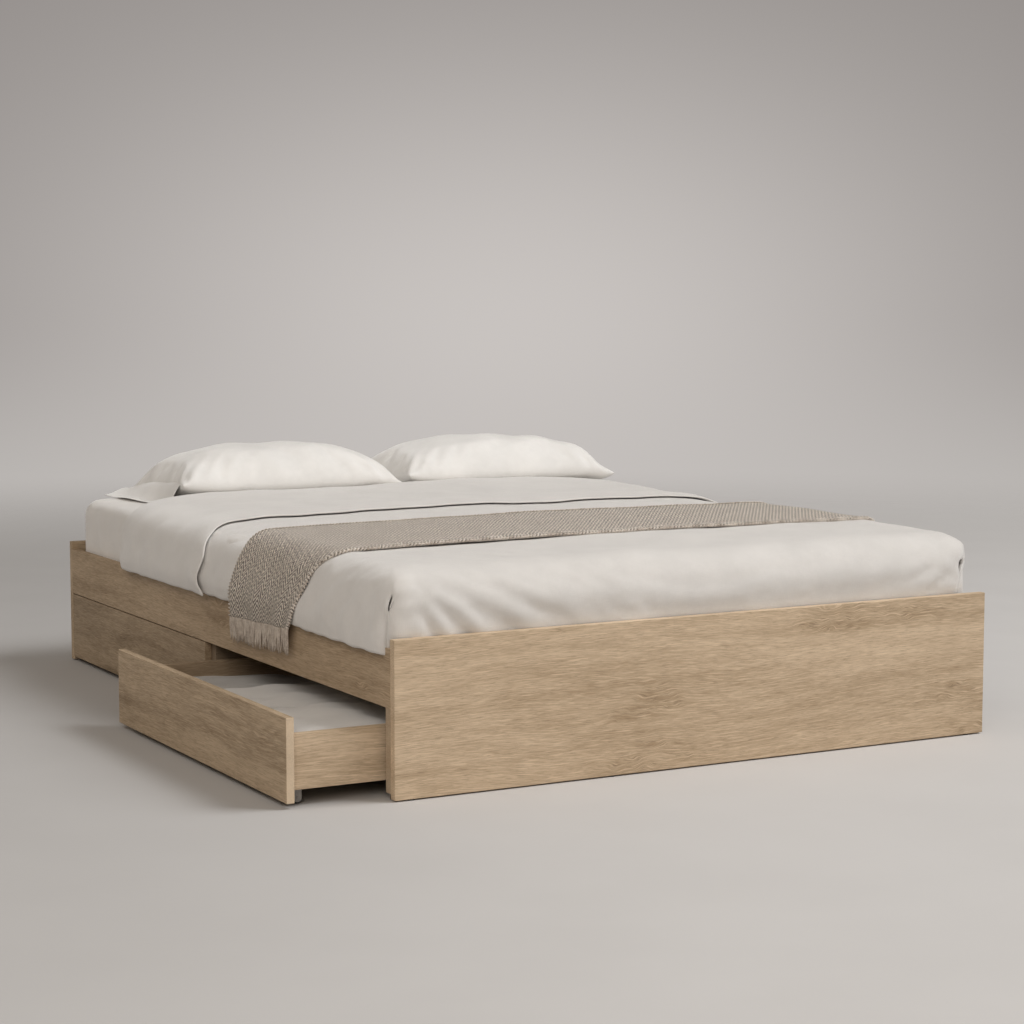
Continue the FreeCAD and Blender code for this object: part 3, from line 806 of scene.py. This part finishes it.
# ---- throw ----
def make_throw():
    """A woven strip over the duvet, hanging past both rails, with stitched edges and a fringe."""
    low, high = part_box("throw")
    foot_edge, head_edge = low.y, high.y
    weave_end, fringe_end = low.z + 0.060, low.z + 0.005
    cloth = 0.0042                            # thickness
    lift = duvet_thick / 2 + cloth / 2 + 0.0015
    outer = rail_high.x + 0.0115
    start = duvet_side - side_round
    reach = start + side_round * math.pi / 2 + (duvet_top - weave_end - side_round)
    along = np.concatenate([np.linspace(0, 0.68, 62), np.linspace(0.68, 0.86, 30)[1:],
                            np.linspace(0.86, 1.0, 16)[1:]])
    s = np.concatenate([-along[:0:-1], along]) * reach
    t = np.linspace(0, 1, 40)
    ss, tt = np.meshgrid(s, t, indexing="ij")
    out, down = roll_over(np.abs(ss) - start, side_round)
    x = start + out
    z = duvet_top + crown(ss, start) - down
    hang = smooth(down, 0.02, 0.19)
    drop = np.clip(down / (duvet_top - weave_end), 0, 1)
    # The hang's foot edge draws in on its way down; the cloth gathers in shallow folds.
    draw = np.interp(drop, [0, 0.05, 0.13, 0.24, 0.36, 0.65, 0.88, 1.0],
                     [0, 0.008, 0.030, 0.050, 0.062, 0.092, 0.120, 0.140])
    y = head_edge + (foot_edge - head_edge) * tt + draw * tt ** 1.3 + hang * 0.018 * (1 - tt)
    swell = 0.003 * np.sin(np.clip(down / 0.153, 0, 1) * math.pi)
    folds = hang * (0.0035 * (1 + np.sin(tt * 17.0 + 0.6)) + 0.0022 * (1 + np.sin(tt * 31.0 + 2.0)) * tt)
    x = x + lift * smooth(down, 0.0, side_round) + swell * hang
    x = np.where(down > side_round, np.maximum(x, start + side_round + lift), x)
    x = x + smooth(down, 0.06, 0.15) * (outer - duvet_side - lift + 0.0015) + folds * smooth(down, 0.03, 0.12)
    z = z + lift * (1 - smooth(down, 0.0, side_round))
    z = z + (1 - hang) * 0.0012 * (1 + ripple(ss, tt * 0.47, 0.30, 21)) - 0.015 * drop * (1 - tt)
    points = np.stack([np.sign(ss) * x, y, z], -1)
    points = lay_over(points, outward(points), duvet, cloth / 2 + 0.0012)
    uv = np.stack([ss, tt * (head_edge - foot_edge)], -1)
    mesh, _ = grid_mesh("throw_blanket", points, uv)
    obj = soft_object("throw_blanket", mesh, throw_weave)
    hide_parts("throw")
    thicken(obj, cloth, 1)

    # Fringe: bundles of yarn hanging from both ends.
    rng = np.random.default_rng(3)
    verts, faces = [], []

    def strand(path, radii):
        """A tube along the path, with its own radius at each point."""
        sides = 6
        path, radii = np.array(path), np.array(radii)[:, None, None]
        tangent = np.gradient(path, axis=0)
        tangent /= np.linalg.norm(tangent, axis=1, keepdims=True)
        a = np.cross(tangent, (0.3, 0.9, 0.1))
        a /= np.linalg.norm(a, axis=1, keepdims=True)
        b = np.cross(tangent, a)
        angle = (2 * math.pi / sides * np.arange(sides))[:, None]
        first = len(verts)
        rings = path[:, None] + radii * (a[:, None] * np.cos(angle) + b[:, None] * np.sin(angle))
        verts.extend(rings.reshape(-1, 3))
        last = len(verts) - sides
        for c in range(first, last, sides):
            for k in range(sides):
                m = (k + 1) % sides
                faces.append((c + k, c + m, c + sides + m, c + sides + k))
        faces.append(tuple(range(first, first + sides))[::-1])
        faces.append(tuple(range(last, last + sides)))

    count = 168
    taper = (0.75, 1.1, 1.0, 1.0, 0.95, 0.95, 0.85, 0.45)
    for end in (0, -1):
        edge = points[end]
        for k in range(count):
            place = (k + 0.5 + rng.uniform(-0.25, 0.25)) / count * (len(t) - 1)
            i = min(int(place), len(t) - 2)
            root = edge[i] + (edge[i + 1] - edge[i]) * (place - i)
            length = (weave_end - fringe_end) * rng.uniform(0.86, 1.12)
            lean, bow = rng.normal(0, 0.0022), rng.normal(0, 0.0016)
            outwards = math.copysign(1, root[0])
            shift = 0.0015 * rng.normal()
            path = [root + np.array([outwards * (shift * q + 0.0006 * math.sin(q * 5 + k)),
                                     lean * q + bow * math.sin(q * math.pi),
                                     0.003 - (length + 0.003) * q]) for q in np.linspace(0, 1, 8)]
            thick = rng.uniform(0.0011, 0.0017)
            strand(path, [thick * w for w in taper])
    fringe = soft_object("throw_fringe", make_mesh("throw_fringe", verts, faces), fringe_yarn)

    # Whip stitches over both long edges.
    verts.clear()
    faces.clear()
    spacing, reach_in, rise = 0.0088, 0.0074, 0.0041
    for edge, inner, way in ((points[:, 0], points[:, 1], 1.0), (points[:, -1], points[:, -2], -1.0)):
        arc = arc_lengths(edge)

        def at_arc(line, place):
            return np.array([np.interp(place, arc, line[:, c]) for c in range(3)])

        for place in np.arange(0.002, arc[-1] - 0.002, spacing):
            at = at_arc(edge, place)
            ahead = at_arc(edge, place + 0.004) - at
            ahead /= np.linalg.norm(ahead) + 1e-12
            toward = at_arc(inner, place) - at
            toward /= np.linalg.norm(toward)
            up = np.cross(ahead, toward) * way
            if up[2] < 0 and abs(up[2]) > 0.3 or up[0] * at[0] < 0 and abs(up[0]) > 0.3:
                up = -up
            loop = []
            for q in np.linspace(-0.15 * math.pi, 1.15 * math.pi, 7):
                loop.append(at + toward * (reach_in * (1 - math.sin(q)) - 0.0012) + up * rise * math.cos(q)
                            + ahead * (0.0030 * math.cos(q) + rng.normal(0, 0.0002)))
            strand(loop, [0.0012, 0.0018, 0.0021, 0.0021, 0.0021, 0.0018, 0.0012])
    edging = soft_object("throw_edge_stitches", make_mesh("throw_edge_stitches", verts, faces),
                         stitch_yarn)


make_throw()


# ---- pillows ----
def make_pillow(name, node, mid_x, length, peak, seed, turn):
    """A filled pillowcase: pointed corners, drawn-in sides, a domed top."""
    low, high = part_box(node)
    depth, height = high.y - low.y - 0.012, high.z - low.z - 0.004
    rows, cols = 44, 64
    s, t = np.meshgrid(np.linspace(-1, 1, cols), np.linspace(-1, 1, rows))
    s, t = (np.sign(k) * (1 - (1 - np.abs(k)) ** 1.3) for k in (s, t))
    x = s * length / 2 - np.sign(s) * 0.016 * (1 - t ** 2) * np.abs(s) ** 3
    y = t * depth / 2 - np.sign(t) * 0.014 * (1 - s ** 2) * np.abs(t) ** 3
    lean = s - peak
    blunt = np.where(s < 0, 3.3, 2.9)
    dome = (1 - np.abs(s) ** blunt) ** 0.54 * (1 - np.abs(t) ** 3.2) ** 0.52 * (1 - 0.10 * lean * lean)
    seam = 0.046 - 0.013 * t - 0.020 * (np.abs(s) * np.abs(t)) ** 2 * (t > 0) - 0.018 * smooth(s, 0.70, 1.0)
    top = seam + (height - 0.044) * dome
    bottom = np.maximum(seam - 0.060 * dome ** 0.7, 0.0)
    inside = smooth(dome, 0.03, 0.30)
    corners = np.exp(-((1 - np.abs(s)) ** 2 + (1 - np.abs(t)) ** 2) / 0.16)
    top = top + inside * 0.0030 * ripple(x, y, 0.17, seed)
    top = top + corners * inside * 0.0050 * np.sin((1 - np.abs(s)) * 34.0 - (1 - np.abs(t)) * 20.0 + seed)

    upper, lower = np.stack([x, y, top], -1), np.stack([x, y, bottom], -1)
    number = np.arange(rows * cols)
    rim = np.ones((rows, cols), bool)
    rim[1:-1, 1:-1] = False
    below = np.where(rim.ravel(), number, number + rows * cols)
    faces = grid_faces(rows, cols)
    points = np.concatenate([upper.reshape(-1, 3), lower.reshape(-1, 3)])
    points = points @ np.array(Euler((0, 0, turn)).to_matrix()).T
    points += np.array([mid_x, (low.y + high.y) / 2 + 0.006, mattress_high.z + 0.0035])
    faces = np.concatenate([faces, below[faces[:, ::-1]]])
    used, renumber = compact(faces)
    mesh = make_mesh(name, points[used], renumber[faces])
    obj = soft_object(name, mesh, pillow_cotton)
    pins = obj.vertex_groups.new(name="pins")
    held = renumber[np.unique(faces[len(faces) // 2:])]
    pins.add([int(i) for i in held], 1.0, "REPLACE")
    simulate(obj, 18, pressure=2.0, gravity=0.0, growth=0.022, pinned="pins", stiffness=8.0, bending=0.5,
             cap=0.006)
    obj.modifiers.new("soft", "SUBSURF").levels = 1
    apply_modifiers(obj)
    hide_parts(node)
    return points[:rows * cols].reshape(rows, cols, 3)


left_top = make_pillow("pillow_left_filled", "pillow_left", -0.282, 0.668, 0.10, 31, 0.010)
make_pillow("pillow_right_filled", "pillow_right", 0.418, 0.682, -0.15, 47, -0.012)


def make_case_end(side_points):
    """The empty, open end of the left pillow's case: it slopes from the pillow down to the mattress."""
    rows, cols = 26, 12
    t, s = np.meshgrid(np.linspace(0.0, 1.0, rows), np.linspace(0, 1, cols), indexing="ij")
    y = side_points[0, 1] + 0.035 + (side_points[-1, 1] - side_points[0, 1] - 0.02) * t
    root_x = np.interp(y, side_points[:, 1], side_points[:, 0]) + 0.012
    root_z = np.interp(y, side_points[:, 1], side_points[:, 2]) + 0.006
    reach = 0.060 + 0.022 * smooth(t, 0.1, 0.7)
    floor_z = mattress_high.z + 0.0055
    fall = smooth(s, 0.05, 0.85)
    x = root_x - reach * s
    z = root_z + (floor_z - root_z) * fall + 0.006 * np.sin(s * math.pi) * np.sin(t * 7.0 + 0.5) ** 2
    z = z + 0.0015 * smooth(s, 0.8, 1.0) * (1 + np.sin(t * 13.0))
    points = np.stack([x, y + 0.010 * s * np.sin(t * 5.0), z], -1)
    mesh, _ = grid_mesh("pillowcase_end", points, np.stack([x, y], -1))
    obj = soft_object("pillowcase_end", mesh, pillow_cotton)
    thicken(obj, 0.0022, 1)


make_case_end(left_top[:, 0])


# ---- stored linen ----
def folded_stack(name, x_span, y_span, base, layers, thick, seed, fold_side=1, cloth=linen_cotton):
    """One cloth folded to and fro on itself: a snaking band whose folds show at its ends."""
    rng = np.random.default_rng(seed)
    path = []
    x0, x1 = x_span
    z = base + thick / 2
    for k in range(layers):
        ends = (x0 + rng.uniform(0, 0.010), x1 - rng.uniform(0, 0.010))
        if (k % 2 == 0) != (fold_side > 0):
            ends = ends[::-1]
        for q in np.linspace(0, 1, 16):
            sag = 0.0012 * math.sin(q * 9 + seed + k)
            path.append((ends[0] + (ends[1] - ends[0]) * q, z + sag * (k > 0)))
        if k < layers - 1:
            way = math.copysign(1, ends[1] - ends[0])
            for angle in np.linspace(0, math.pi, 7)[1:-1]:
                path.append((ends[1] + way * thick * 0.6 * math.sin(angle),
                             z + thick / 2 * (1 - math.cos(angle))))
        z += thick
    path = np.array(path)
    ys = np.linspace(*y_span, 26)
    grid = np.zeros((len(path), len(ys), 3))
    layer = np.arange(len(path))[:, None] * 0.02
    grid[..., 0] = path[:, 0:1]
    grid[..., 1] = ys[None, :] + 0.004 * ripple(layer, ys[None, :], 0.3, seed)
    high = smooth(path[:, 1:2], base, base + layers * thick)
    middle, half = (y_span[0] + y_span[1]) / 2, (y_span[1] - y_span[0]) / 2
    round_off = smooth(np.abs(ys[None, :] - middle), half - 0.030, half)
    half_x = (x1 - x0) / 2
    round_off = np.maximum(round_off, smooth(np.abs(path[:, 0:1] - x0 - half_x), half_x - 0.035, half_x))
    slope = smooth(path[:, 0:1], x0 + 0.06, x1) * 0.030
    grid[..., 2] = path[:, 1:2] + high * (0.0040 * ripple(grid[..., 0], grid[..., 1], 0.14, seed + 1)
                                          - 0.0100 * round_off - slope)
    step = arc_lengths(path)
    uv = np.stack(np.broadcast_arrays(step[:, None], ys[None, :]), -1)
    mesh, _ = grid_mesh(name, grid, uv)
    obj = soft_object(name, mesh, cloth, "foot_left_drawer")
    thicken(obj, thick * 0.72, 1)
    return obj


linen_low, linen_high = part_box("stored_linen")
third = (linen_high.y - linen_low.y) / 3
base_z, linen_tall = linen_low.z, linen_high.z - linen_low.z
first = folded_stack(
    "folded_linen_foot", (linen_low.x + 0.014, linen_high.x - 0.010),
    (linen_low.y + 0.014, linen_low.y + third + 0.006), base_z, 6, linen_tall * 0.165, 3)
folded_stack(
    "folded_linen_middle", (linen_low.x + 0.030, linen_high.x - 0.004),
    (linen_low.y + third + 0.044, linen_low.y + 2 * third - 0.004), base_z, 5, linen_tall * 0.190, 5, -1)
# The head stack is in painted shade: its cloth is darker, standing in for the shadow under the rail.
folded_stack(
    "folded_linen_head", (linen_low.x + 0.012, linen_high.x - 0.016),
    (linen_low.y + 2 * third + 0.030, linen_high.y - 0.006), base_z, 5, linen_tall * 0.154, 8,
    cloth=linen_painted_shade)
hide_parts("stored_linen")


# ---- floor, light and camera ----
def make_floor():
    bm = bmesh.new()
    bmesh.ops.create_circle(bm, cap_ends=True, segments=96, radius=60.0)
    mesh = bpy.data.meshes.new("floor")
    bm.to_mesh(mesh)
    bm.free()
    floor = bpy.data.objects.new("floor", mesh)
    scene.collection.objects.link(floor)
    floor.location.z = -0.0002
    f = Finish("studio_floor", 0.75, specular=0.15)
    place = f.place()
    mottle = f.noise(place, scale=3.0, detail=4.0)
    far = f.ramp(f.node("ShaderNodeVectorMath", {0: place}, operation="LENGTH").outputs["Value"], 2.7, 7.5)
    tint = f.mix(f.ramp(mottle, 0.3, 0.7), (0.604, 0.589, 0.578), (0.618, 0.603, 0.592))
    # Painted shade: the floor is a little darker towards the left, standing in for the light falling off that
    # way.
    x, y, _ = f.split(place)
    sideways = f.add(f.mul(x, 0.877), f.mul(y, -0.480))
    tint = f.mix(f.ramp(sideways, -1.0, 0.6, 0.16, 0.0), tint, (0.0, 0.0, 0.0))
    f.finish(tint, None, f.noise(place, scale=180.0), depth=0.0002)
    # Towards its rim the floor gives way to the backdrop's even tone.
    blend = f.node("ShaderNodeMixShader", {0: far, 1: f.shader.outputs[0],
                                           2: f.node("ShaderNodeBsdfTransparent", {}).outputs[0]})
    f.tree.links.new(blend.outputs[0], f.tree.nodes["Material Output"].inputs["Surface"])
    mesh.materials.append(f.material)


make_floor()


def make_world():
    """Even ambient light; the backdrop itself is brightest behind the bed and falls off round it."""
    world = bpy.data.worlds.new("studio")
    world.use_nodes = True
    tree = world.node_tree
    background = tree.nodes["Background"]

    def node(kind, inputs, **settings):
        return add_node(tree, kind, inputs, **settings).outputs

    def math_node(operation, a, b):
        return node("ShaderNodeMath", {0: a, 1: b}, operation=operation)[0]

    def mix(factor, a, b):
        return node("ShaderNodeMix", {0: factor, 6: a, 7: b}, data_type="RGBA")[2]

    towards = math.radians(28.7)
    direction = node("ShaderNodeTexCoord", {})["Generated"]

    def offset(axis, width, middle=0.0):
        along = node("ShaderNodeVectorMath", {0: direction, 1: axis}, operation="DOT_PRODUCT")["Value"]
        part = math_node("MULTIPLY", math_node("ADD", along, -middle), 1 / width)
        return math_node("MULTIPLY", part, part)

    spread = math_node("ADD", offset((math.cos(towards), -math.sin(towards), 0.0), 0.222),
                       offset((0.0, 0.0, 1.0), 0.128, -0.02))
    glow = math_node("POWER", math.e, math_node("MULTIPLY", spread, -1.0))
    up = node("ShaderNodeSeparateXYZ", {0: direction})["Z"]
    below = node("ShaderNodeMapRange", {0: up, 1: -0.10, 2: -0.01, 3: 1.0, 4: 0.0},
                 interpolation_type="SMOOTHSTEP")[0]
    base = mix(below, (0.270, 0.248, 0.237, 1.0), (0.46, 0.44, 0.42, 1.0))
    backdrop = mix(glow, base, (0.578, 0.545, 0.524, 1.0))
    seen = node("ShaderNodeLightPath", {})["Is Camera Ray"]
    ambient = (0.238, 0.216, 0.192, 1.0)
    tree.links.new(mix(seen, ambient, backdrop), background.inputs["Color"])
    scene.world = world


make_world()


def area_light(name, place, size, power, colour):
    """A square soft light that faces the bed."""
    target = (0.0, 0.0, 0.2)
    data = bpy.data.lights.new(name, "AREA")
    data.shape, data.size = "SQUARE", size
    data.energy, data.color = power, colour
    light = bpy.data.objects.new(name, data)
    light.location = place
    light.rotation_euler = (Vector(target) - Vector(place)).to_track_quat("-Z", "Y").to_euler()
    scene.collection.objects.link(light)


area_light("key", (5.9, -4.15, 8.95), 5.6, 870.0, (0.98, 0.99, 1.0))
area_light("fill", (-4.6, -6.6, 4.4), 4.0, 152.0, (1.0, 0.93, 0.85))
area_light("side_fill", (-4.8, -1.3, 5.2), 3.5, 48.0, (1.0, 0.94, 0.87))

# The camera stands at the foot, to the left; both angles are in degrees.
looks_down, looks_right = 5.64, 28.72
camera = bpy.data.objects.new("camera", bpy.data.cameras.new("camera"))
camera.location = (-2.878, -5.393, 1.083)
camera.rotation_euler = (math.radians(90 - looks_down), 0, math.radians(-looks_right))
camera.data.lens, camera.data.sensor_width = 82.5, 36.0
scene.collection.objects.link(camera)
scene.camera = camera
